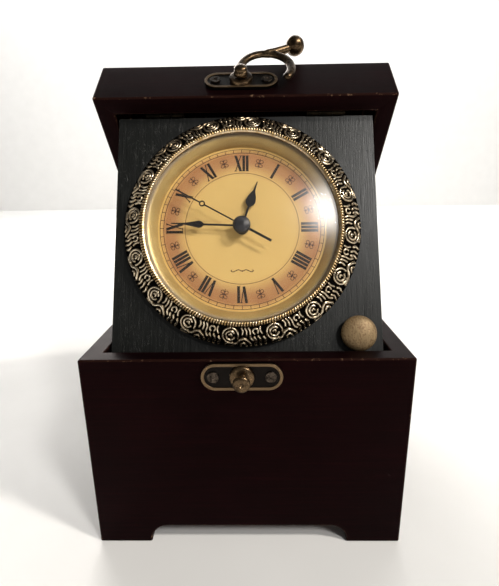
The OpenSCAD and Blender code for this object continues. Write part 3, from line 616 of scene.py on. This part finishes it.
def lid_shell():
    """The closed lid's walls and top as one upside-down tray, and the height of the top's underside."""
    top_hi = box_in("lid_top", LID)[1]
    wall_lo, wall_hi = box_in("lid_front", LID)
    half, inner = top_hi.x, top_hi.x - (wall_hi.y - wall_lo.y)
    bm = bmesh.new()

    def square(size, z):
        return [bm.verts.new((x * size, y * size, z)) for x, y in ((-1, -1), (1, -1), (1, 1), (-1, 1))]

    rings = [square(half, top_hi.z), square(half, wall_lo.z),
             square(inner, wall_lo.z), square(inner, wall_hi.z)]
    for low, high in zip(rings, rings[1:]):
        for i in range(4):
            bm.faces.new((low[i], low[(i + 1) % 4], high[(i + 1) % 4], high[i]))
    bm.faces.new(rings[0])
    bm.faces.new(rings[-1])
    bmesh.ops.recalc_face_normals(bm, faces=bm.faces)
    ease(bm, EDGE, worn=True)
    return bm, wall_hi.z


box_wood = box_shell()
lid_wood, seam_z = lid_shell()
above_seam = ((0, 0, seam_z), (0, 0, 1))
below_seam = ((0, 0, seam_z), (0, 0, -1))
for wall, first, second, grain in WALLS:
    mitres = [((0, 0, 0), (*first, 0)), ((0, 0, 0), (*second, 0))]
    wood_piece(box_wood, "box", "box_" + wall, mitres, grain, BOX)
    wood_piece(lid_wood, "lid", "lid_" + wall, mitres + [above_seam], grain, LID)
wood_piece(lid_wood, "lid", "lid_top", [below_seam], None, LID)
box_wood.free()
lid_wood.free()


# ---- panel and small hardware ----

def eased_copy(node, name, body, looks, matrix, width, worn=False):
    """A copy of a CAD node with rounded edges, which takes its place."""
    bm = cad_bmesh([node], matrix)
    merge_flats(bm)
    ease(bm, width, segments=2, least_angle=30, worn=worn)
    mesh = finish_mesh(bm, name, matrix)
    add_piece(name, mesh, body, looks, [node], True)


eased_copy("panel_board", "panel_painted", "panel",
           [LOOKS["panel_paint"], LOOKS["worn_paint"]], PANEL, 0.7, worn=True)
for part, slot, look, width in (("plate", "antique_brass", "plate_brass", 0.3),
                                ("screws", "steel", "dark_steel", 0.12)):
    for side, body, face in (("catch", "box", BOX_FACE), ("hook", "lid", LID_FACE)):
        eased_copy(f"{side}_{part}", f"{side}_{part}_worn", body, [LOOKS[look]], face, width)

# Profiles of turned pieces, as (radius, height over the wood). Two of them stand on a plate's sunk middle.
CATCH_PROFILE = [(0, -2.4), (1.55, -2.4), (1.55, SUNK), (5.2, SUNK), (5.2, 2.0), (4.9, 2.6), (4.2, 2.95),
                 (3.0, 3.0), (2.1, 3.15), (1.8, 3.6), (1.8, 6.1), (2.1, 6.5), (2.9, 6.7), (3.45, 7.0),
                 (3.65, 7.5), (3.6, 8.0), (3.3, 8.5), (2.8, 8.78), (1.6, 8.88), (0.9, 8.82), (0.6, 8.45),
                 (0, 8.3)]
PIVOT_PROFILE = [(0, -2.4), (1.55, -2.4), (1.55, SUNK), (5.4, SUNK), (5.4, 2.2), (5.1, 2.9), (4.6, 3.15),
                 (3.2, 3.2), (1.55, 3.2), (1.55, 6.4), (3.0, 6.4), (2.95, 6.9), (2.7, 7.3), (2.2, 7.7),
                 (1.4, 7.98), (0.6, 8.08), (0, 8.1)]
PULL_PROFILE = [(0, 0), (3.6, 0), (3.3, 0.6), (3.25, 1.2), (3.7, 1.55), (5.5, 1.72), (7.2, 1.88),
                (7.65, 2.15), (7.8, 2.7), (7.7, 3.2), (7.3, 3.85), (6.3, 4.65), (5.0, 5.2), (3.4, 5.62),
                (1.7, 5.88), (0, 5.95)]


def turned(node, name, body, look, profile, matrix, shift=(0, 0, 0)):
    """A turned piece that takes a CAD node's place."""
    bm = lathe(profile, 64)
    bmesh.ops.translate(bm, verts=bm.verts, vec=shift)
    add_piece(name, finish_mesh(bm, name, matrix), body, [LOOKS[look]], [node])


pull_lo, pull_hi = box_in("pull_knob", PANEL)
pull_shift = ((pull_lo.x + pull_hi.x) / 2, (pull_lo.y + pull_hi.y) / 2, 0)
turned("catch_knob", "catch_knob_turned", "box", "antique_brass", CATCH_PROFILE, BOX_FACE)
turned("hook_pivot", "hook_rivet", "lid", "antique_brass", PIVOT_PROFILE, LID_FACE)
turned("pull_knob", "pull_knob_turned", "panel", "speckled_brass", PULL_PROFILE, PANEL,
       pull_shift)


# ---- hook ----

HOOK_MID = 4.8
HOOK_FLAT = 0.75
ARM_R = 2.1
EYE_R, EYE_WIRE_R, EYE_TALL = 2.45, 0.85, 1.6
CURL_C, CURL_A, CURL_B = (11.5, 3.2), 11.8, 12.6
CURL_FROM, CURL_TO = 197, -33
HANDLE = [(8.5, 15.0), (13.0, 16.05), (17.4, 17.65), (21.7, 19.95), (26.0, 22.8)]
BALL_R = 4.6


def cast_hook():
    """Round-section hook: the curl that goes round the knob, the handle, its ball and the eye."""
    bm = bmesh.new()
    steps = 60
    curl, radii = [], []
    for i in range(steps + 1):
        share = i / steps
        a = math.radians(CURL_FROM + (CURL_TO - CURL_FROM) * share)
        curl.append((CURL_C[0] + CURL_A * math.cos(a), CURL_C[1] + CURL_B * math.sin(a)))
        radii.append(ARM_R - 0.1 * math.sin(math.pi * share))
    tube(bm, curl, radii, HOOK_FLAT)
    handle = bend_through(HANDLE, 8)
    tube(bm, handle, [min(1.2 + 0.1 * i, 2.0) for i in range(len(handle))])
    for centre, radius, squeeze in ((HANDLE[-1], BALL_R, 1.0), (curl[-1], ARM_R, HOOK_FLAT)):
        ball = bmesh.ops.create_icosphere(bm, subdivisions=4, radius=radius)["verts"]
        bmesh.ops.scale(bm, verts=ball, vec=(1, 1, squeeze))
        bmesh.ops.translate(bm, verts=ball, vec=(*centre, 0))
    eye = arc((0, 0), EYE_R, 0, 360, 40)
    tube(bm, eye, [EYE_WIRE_R] * len(eye), EYE_TALL)
    bmesh.ops.translate(bm, verts=bm.verts, vec=(0, 0, HOOK_MID))
    mesh = bpy.data.meshes.new("hook_shells")
    bm.to_mesh(mesh)
    bm.free()
    melted = settle(mesh, 0.18, 4)
    bm = bmesh.new()
    bm.from_mesh(melted)
    return finish_mesh(bm, "hook_cast", LID_FACE)


add_piece("hook_cast", cast_hook(), "hook", [LOOKS["antique_brass"]], ["hook"])


# ---- bezel ----

# The ornament repeats round the bezel. Its tile is laid out flat, TILE long, and starts at TILE_START.
REPEATS = 16
BEZEL_IN, BEZEL_MID, BEZEL_OUT = 45.3, 49.0, 53.4
TILE = 2 * math.pi * BEZEL_MID / REPEATS
TILE_START = -5.0
TILE_COLUMNS = 88
RELIEF_ROWS = 54
RELIEF_DEPTH = 1.0
STROKE_SWELL = 1.12

# The first rosette's place in degrees, and how much lower the most rubbed repeat may be.
FIRST_ROSETTE = -6.0
RUBBED_AWAY = 0.14

TOP_PROFILE = [(BEZEL_IN, 8.25), (46.5, 7.85), (48.5, 6.85), (51.0, 5.25), (52.7, 3.75), (BEZEL_OUT, 2.6)]
UNDER_PROFILE = [(53.5, 2.4), (53.5, 0), (52.3, 0), (52.3, 2.0), (51.9, 2.8), (50.2, 4.2), (48.0, 5.7),
                 (46.2, 6.6), (45.2, 6.9), (45.2, 8.1)]


def ornament():
    """One repeat's strokes as (line, half width). x runs round the bezel, y out from its inner edge."""
    eye = (0.0, 3.9)
    turns = [(arc(eye, 0.55, 200, 380), 0.52), (arc(eye, 1.9, 35, 325), 0.5), (arc(eye, 3.3, 75, 265), 0.52),
             (arc(eye, 3.4, -78, 18), 0.5), (arc((11.1, 2.3), 1.2, 120, 400), 0.5)]
    sprays = [
        ([(-1.6, 7.9), (0.9, 7.7), (2.9, 7.1), (4.2, 5.7), (5.8, 5.2), (7.2, 6.2), (8.4, 7.7)], 0.6),
        ([(4.3, 7.8), (5.5, 7.1), (6.5, 7.9)], 0.5),
        ([(4.9, 0.6), (5.5, 1.9), (5.2, 3.4)], 0.5),
        ([(6.5, 0.6), (7.1, 2.1), (7.0, 3.9)], 0.5),
        ([(8.1, 0.6), (8.7, 2.2), (8.6, 4.6), (9.6, 6.2)], 0.52),
        ([(10.3, 4.9), (10.9, 6.3), (10.4, 7.8)], 0.55),
        ([(12.0, 4.6), (12.7, 6.0), (12.4, 7.8)], 0.55),
        ([(13.4, 0.7), (13.3, 2.2), (13.8, 3.6)], 0.48),
        ([(14.2, 5.2), (14.9, 6.4), (14.4, 7.8)], 0.55),
    ]
    return turns + [(bend_through(line, 6), half) for line, half in sprays]


def relief_of_tile():
    """Height from 0 in the hollows to 1 on the ridges, rows outwards and columns round one repeat."""
    across = (np.arange(TILE_COLUMNS) / TILE_COLUMNS) * TILE + TILE_START
    outward = np.linspace(0, BEZEL_OUT - BEZEL_IN, RELIEF_ROWS)
    s, t = np.meshgrid(across, outward)
    height = np.zeros_like(s)
    for line, half in ornament():
        for shift in (-TILE, 0, TILE):
            for a, b in zip(line, line[1:]):
                ax, ay, bx, by = a[0] + shift, a[1], b[0] + shift, b[1]
                dx, dy = bx - ax, by - ay
                u = np.clip(((s - ax) * dx + (t - ay) * dy) / (dx * dx + dy * dy + 1e-9), 0, 1)
                d = np.hypot(s - ax - u * dx, t - ay - u * dy)
                wire = np.sqrt(np.clip(1 - (d / (half * STROKE_SWELL)) ** 2, 0, 1))
                height = np.maximum(height, wire)
    return height


def bezel_mesh():
    """Pressed ring: the ornament on top, plain underneath."""
    tile = relief_of_tile()
    chance = random.Random(7)
    steps = REPEATS * TILE_COLUMNS
    radii = np.linspace(BEZEL_IN, BEZEL_OUT, RELIEF_ROWS)
    tops = np.interp(radii, [p[0] for p in TOP_PROFILE], [p[1] for p in TOP_PROFILE])
    slopes = np.gradient(tops, radii)
    worn = [1 - RUBBED_AWAY + RUBBED_AWAY * chance.random() for _ in range(REPEATS)]
    bm = bmesh.new()
    layer = bm.verts.layers.float.new("relief")
    rows = []
    start = FIRST_ROSETTE + TILE_START / TILE * 360 / REPEATS
    angles = [math.radians(start + 360 * i / steps) for i in range(steps)]
    for k, (r, z, slope) in enumerate(zip(radii, tops, slopes)):
        row = []
        tilt = math.atan(slope)
        for i, a in enumerate(angles):
            up = tile[k, i % TILE_COLUMNS] * worn[i // TILE_COLUMNS]
            sink = (1 - up) * RELIEF_DEPTH
            sunk_r = r + sink * math.sin(tilt)
            vert = bm.verts.new((sunk_r * math.cos(a), sunk_r * math.sin(a), z - sink * math.cos(tilt)))
            vert[layer] = up
            row.append(vert)
        rows.append(row)
    for r, z in UNDER_PROFILE:
        rows.append([bm.verts.new((r * math.cos(a), r * math.sin(a), z)) for a in angles])
    for low, high in zip(rows, rows[1:] + rows[:1]):
        for i in range(steps):
            bm.faces.new((low[i], low[(i + 1) % steps], high[(i + 1) % steps], high[i]))
    return finish_mesh(bm, "bezel_pressed", CLOCK)


add_piece("bezel_pressed", bezel_mesh(), "panel", [LOOKS["ornament_brass"]], ["bezel"])

RIBS = 232
RIB_COLUMNS = 6
RIB_DEPTH = 0.6
RIB_TOP_RELIEF = 0.75
BEAD_PROFILE = [(45.15, 1.25), (45.15, 8.4), (44.95, 8.85), (44.6, 9.15), (44.2, 9.27), (43.7, 9.25),
                (43.3, 9.05), (42.9, 8.8), (42.65, 8.55), (42.65, 8.05), (43.55, 8.0), (43.65, 7.9),
                (43.65, 1.25)]

# How deep the grooves are at each ribbed row of the profile.
GROOVES = {1: 0.3, 2: 0.55, 3: RIB_DEPTH, 4: 0.5, 5: 0.25}


def bead_mesh():
    """Ring with fine radial ribs round its outer edge."""
    steps = RIBS * RIB_COLUMNS

    def groove(i, row):
        return GROOVES.get(row, 0) * (0.5 - 0.5 * math.cos(2 * math.pi * i / RIB_COLUMNS)) ** 2

    bm = lathe(BEAD_PROFILE, steps, closed=True, wave=lambda i, row: -groove(i, row))
    layer = bm.verts.layers.float.new("relief")
    for index, vert in enumerate(bm.verts):
        row, i = divmod(index, steps)
        vert[layer] = RIB_TOP_RELIEF * (1 - groove(i, row) / RIB_DEPTH)
    return finish_mesh(bm, "bead_ring_ribbed", CLOCK)


add_piece("bead_ring_ribbed", bead_mesh(), "panel", [LOOKS["bead_brass"]], ["bead_ring"])


# ---- glass, gold ring and dial ----

LENS_R, LENS_EDGE, LENS_T, LENS_RISE = 43.5, 6.7, 1.1, 4.6
DIAL_Z, DIAL_TOP, DIAL_R, DIAL_BORE = 1.6, 2.1, 38.55, 3.2
REFLECTOR = [(43.45, 6.55), (42.0, 6.55), (41.3, 6.15), (40.6, 5.55), (40.0, 4.95), (39.4, 4.2),
             (38.8, 3.25), (38.25, 2.25), (38.25, 2.1), (40.0, 2.1), (41.2, 4.0), (42.2, 5.0), (43.45, 5.4)]


def dome(share):
    """The lens's rise over its edge at a share of its radius."""
    return LENS_RISE * (1 - share ** 2)


def lens_profile():
    """Domed sheet of one thickness."""
    shares = [i / 40 for i in range(41)]
    outer = [(LENS_R * s, LENS_EDGE + LENS_T + dome(s)) for s in shares]
    inner = [(LENS_R * s, LENS_EDGE + dome(s)) for s in reversed(shares)]
    return outer + inner


def dial_profile():
    """Disc with a bore for the arbors, its top face in narrow bands."""
    radii = [DIAL_BORE + (DIAL_R - DIAL_BORE) * i / 24 for i in range(25)]
    return [(r, DIAL_TOP) for r in radii] + [(DIAL_R, DIAL_Z), (DIAL_BORE, DIAL_Z)]


def clock_disc(name, profile, closed, look, node):
    """A turned piece round the clock's axis that takes a CAD node's place."""
    mesh = finish_mesh(lathe(profile, 128, closed), name, CLOCK)
    add_piece(name, mesh, "panel", [LOOKS[look]], [node])


clock_disc("lens_domed", lens_profile(), False, "lens_clear", "lens")
clock_disc("gold_slope", REFLECTOR, True, "gold_ring", "reflector_ring")
clock_disc("dial_paper", dial_profile(), True, "dial_print", "dial")

INK_TOP = DIAL_TOP + 0.03
NUMERALS = ["XII", "I", "II", "III", "IIII", "V", "VI", "VII", "VIII", "IX", "X", "XI"]
GLYPH_W = {"I": 1.62, "V": 3.3, "X": 3.5}
GLYPH_H = 7.3
GLYPH_FOOT = 26.9
BOLD, HAIR, SERIF = 1.2, 0.4, 0.32


def ribbon(bm, line, width, turn=0.0, shift=(0, 0)):
    """A flat inked stroke along a line, turned about the dial's centre."""
    line = [np.array(p, float) + shift for p in line]
    left, right = [], []
    for i, p in enumerate(line):
        along = line[min(i + 1, len(line) - 1)] - line[max(i - 1, 0)]
        along /= np.linalg.norm(along)
        across = np.array((-along[1], along[0])) * width / 2
        left.append(p + across)
        right.append(p - across)
    c, s = math.cos(turn), math.sin(turn)
    for a, b, d, e in zip(left, left[1:], right[1:], right):
        prism(bm, [(x * c - y * s, x * s + y * c) for x, y in (e, d, b, a)], DIAL_TOP, INK_TOP)


def glyph(letter, x, bm, turn):
    """One letter whose left side is at x, turned to its hour."""
    w, low, high = GLYPH_W[letter], GLYPH_FOOT, GLYPH_FOOT + GLYPH_H
    strokes = {
        "I": [([(w / 2, low), (w / 2, high)], BOLD)],
        "V": [([(0.55, high), (w / 2 + 0.1, low)], BOLD), ([(w - 0.45, high), (w / 2 + 0.15, low)], HAIR)],
        "X": [([(0.6, high), (w - 0.6, low)], BOLD), ([(w - 0.55, high), (0.55, low)], HAIR)],
    }[letter]
    serifs = {
        "I": [(0.12, w - 0.12, low), (0.12, w - 0.12, high)],
        "V": [(0.0, 1.15, high), (w - 0.95, w, high)],
        "X": [(0.0, 1.25, high), (w - 1.1, w, high), (0.0, 1.1, low), (w - 1.25, w, low)],
    }[letter]
    for line, width in strokes:
        ribbon(bm, line, width, turn, (x, 0))
    for a, b, y in serifs:
        ribbon(bm, [(a, y), (b, y)], SERIF, turn, (x, 0))


def numerals_mesh():
    """The twelve numerals, their feet towards the dial's centre."""
    bm = bmesh.new()
    for hour, numeral in enumerate(NUMERALS):
        turn = -math.radians(30 * hour)
        x = -sum(GLYPH_W[letter] for letter in numeral) / 2
        for letter in numeral:
            glyph(letter, x, bm, turn)
            x += GLYPH_W[letter]
    return finish_mesh(bm, "dial_numerals", CLOCK)


FINE, STRONG = 0.28, 0.34
TRACK_IN, TRACK_OUT = 35.55, 37.2
INNER_CIRCLE = 25.85
SCROLL_AT = 31.4

# Half of the small scroll below the dial's centre.
LOW_CURL = [(0.5, -19.9), (1.6, -19.3), (2.9, -19.8), (4.2, -20.3), (5.0, -19.8), (4.5, -19.4)]


def half_hour_scroll(bm, turn):
    """Small scrollwork: a stem with a bar across, and two curls and two leaves on both sides."""
    ribbon(bm, [(0, SCROLL_AT - 2.3), (0, SCROLL_AT + 2.3)], STRONG, turn)
    ribbon(bm, [(-0.8, SCROLL_AT), (0.8, SCROLL_AT)], FINE, turn)
    for side in (-1, 1):
        start = 0 if side < 0 else 180
        for up in (-1, 1):
            centre = (side * 0.95, SCROLL_AT + up * 1.05)
            ribbon(bm, arc(centre, 0.72, start, start - side * up * 280, 10), FINE, turn)
            leaf = [(side * 0.15, SCROLL_AT + up * 0.2), (side * 1.5, SCROLL_AT + up * 0.5)]
            ribbon(bm, leaf, FINE, turn)


def fine_print_mesh():
    """Circles, minute track, half-hour scrolls and a small scroll below the centre."""
    bm = bmesh.new()
    for radius, width in ((INNER_CIRCLE, 0.22), (TRACK_IN, FINE), (TRACK_OUT, FINE)):
        ribbon(bm, arc((0, 0), radius, 0, 360, 120), width)
    for minute in range(60):
        ribbon(bm, [(0, TRACK_IN), (0, TRACK_OUT)], FINE, -math.radians(6 * minute))
    for hour in range(12):
        half_hour_scroll(bm, -math.radians(30 * hour + 15))
    for side in (-1, 1):
        curl = [(side * x, y) for x, y in LOW_CURL]
        ribbon(bm, bend_through(curl, 4), STRONG)
    low_y = LOW_CURL[0][1]
    ribbon(bm, [(-0.35, low_y), (0.35, low_y)], 0.6)
    return finish_mesh(bm, "dial_fine_print", CLOCK)


add_piece("dial_numerals", numerals_mesh(), "panel", [LOOKS["numeral_ink"]])
add_piece("dial_fine_print", fine_print_mesh(), "panel", [LOOKS["fine_ink"]])

CAP_PROFILE = [(0, 7.05), (3.7, 7.05), (3.93, 7.15), (3.93, 7.4), (3.85, 7.7), (3.55, 8.15), (3.0, 8.55),
               (2.2, 8.88), (1.2, 9.1), (0, 9.17)]
cap_mesh = finish_mesh(lathe(CAP_PROFILE, 64), "hand_cap", CLOCK)
add_piece("hand_cap", cap_mesh, "seconds", [LOOKS["cap_grey"]])


# ---- CAD nodes that stay ----

SLOT_OF = {part["node"]: part["material_slot"] for part in frame["record"]["subparts"]}
for name, node in frame["nodes"].items():
    if node.hide_render:
        continue
    # The panel's hinges take the near-black look, which paints the shade under the lid into their colour.
    look = "panel_hinge_brass" if name.startswith("panel_hinge") else SLOT_OF[name]
    for holder in node.material_slots:
        holder.link = "OBJECT"
        holder.material = LOOKS[look]


# ---- stage and light ----

def plane(name, corners, look):
    """A flat sheet of the studio."""
    mesh = bpy.data.meshes.new(name)
    mesh.from_pydata(corners, [], [tuple(range(len(corners)))])
    mesh.materials.append(look)
    made = bpy.data.objects.new(name, mesh)
    bpy.context.scene.collection.objects.link(made)


def backdrop_paper():
    """Pale paper, very slightly uneven."""
    look = Look("backdrop_look", roughness=0.9, specular=0.1)
    cloud = look.noise(look.world(), 0.02, 2.0)
    look.set("Base Color", look.ramp(cloud, [(0.0, srgb(238, 237, 235)), (1.0, srgb(246, 245, 243))]))
    return look.material


WIDE, DEEP, TALL = 5.0, 2.0, 5.0
paper = backdrop_paper()
plane("floor", [(-WIDE, -WIDE, 0), (WIDE, -WIDE, 0), (WIDE, DEEP, 0), (-WIDE, DEEP, 0)], paper)
plane("backdrop", [(-WIDE, DEEP, 0), (WIDE, DEEP, 0), (WIDE, DEEP, TALL), (-WIDE, DEEP, TALL)], paper)


def softbox(name, at, aim, size, power, colour=(1, 1, 1)):
    """A rectangular lamp. Refracted rays miss it, because shadow rays through the lens already count it."""
    lamp = bpy.data.lights.new(name, "AREA")
    lamp.shape = "RECTANGLE"
    lamp.size, lamp.size_y = size
    lamp.energy = power
    lamp.color = colour
    made = bpy.data.objects.new(name, lamp)
    made.location = at
    made.rotation_euler = (Vector(at) - Vector(aim)).to_track_quat("Z", "Y").to_euler()
    made.visible_transmission = False
    bpy.context.scene.collection.objects.link(made)


centre = Vector((0, clock_at.y, clock_at.z))
softbox("key", centre + 2.0 * Vector((0.65, -0.33, 0.68)), centre, (0.2, 0.2), 24.0, (1.0, 0.95, 0.88))
softbox("window", centre + 2.0 * Vector((0.49, -0.61, 0.65)), centre, (0.26, 0.42), 17.0, (1.0, 0.98, 0.95))
softbox("fill", centre + 2.0 * Vector((-0.85, -0.5, 0.1)), centre, (1.2, 1.2), 0.7, (1.0, 0.95, 0.90))
softbox("rear", centre + 1.6 * Vector((-0.35, 0.8, 0.45)), centre, (0.9, 0.9), 14.0, (1.0, 0.96, 0.92))
softbox("backdrop_light", (0.0, 1.0, 2.4), (0.0, DEEP, 2.0), (2.5, 0.5), 80.0)
world = bpy.data.worlds.new("studio")
bpy.context.scene.world = world
world.use_nodes = True
sky = world.node_tree.nodes["Background"]
sky.inputs["Color"].default_value = (1.0, 0.99, 0.97, 1.0)
sky.inputs["Strength"].default_value = 0.1


# ---- camera ----

CAMERA_AT = clock_at + Vector((6.435, -193.512, 23.931)) * MM
LENS_MM = 25.87

# In radians.
YAW, PITCH, ROLL = -0.018, 0.274, -0.014
ahead = Vector((math.sin(YAW) * math.cos(PITCH), math.cos(YAW) * math.cos(PITCH), -math.sin(PITCH)))
right = ahead.cross(Vector((0, 0, 1))).normalized()
above = right.cross(ahead)
rolled_right = math.cos(ROLL) * right + math.sin(ROLL) * above
rolled_up = math.cos(ROLL) * above - math.sin(ROLL) * right
camera = bpy.data.objects.new("camera", bpy.data.cameras.new("camera"))
turn = Matrix((rolled_right, rolled_up, -ahead)).transposed().to_4x4()
camera.matrix_world = Matrix.Translation(CAMERA_AT) @ turn
camera.data.lens = LENS_MM
camera.data.clip_start = 0.01
bpy.context.scene.collection.objects.link(camera)
bpy.context.scene.camera = camera
bpy.context.scene.view_settings.view_transform = "Standard"
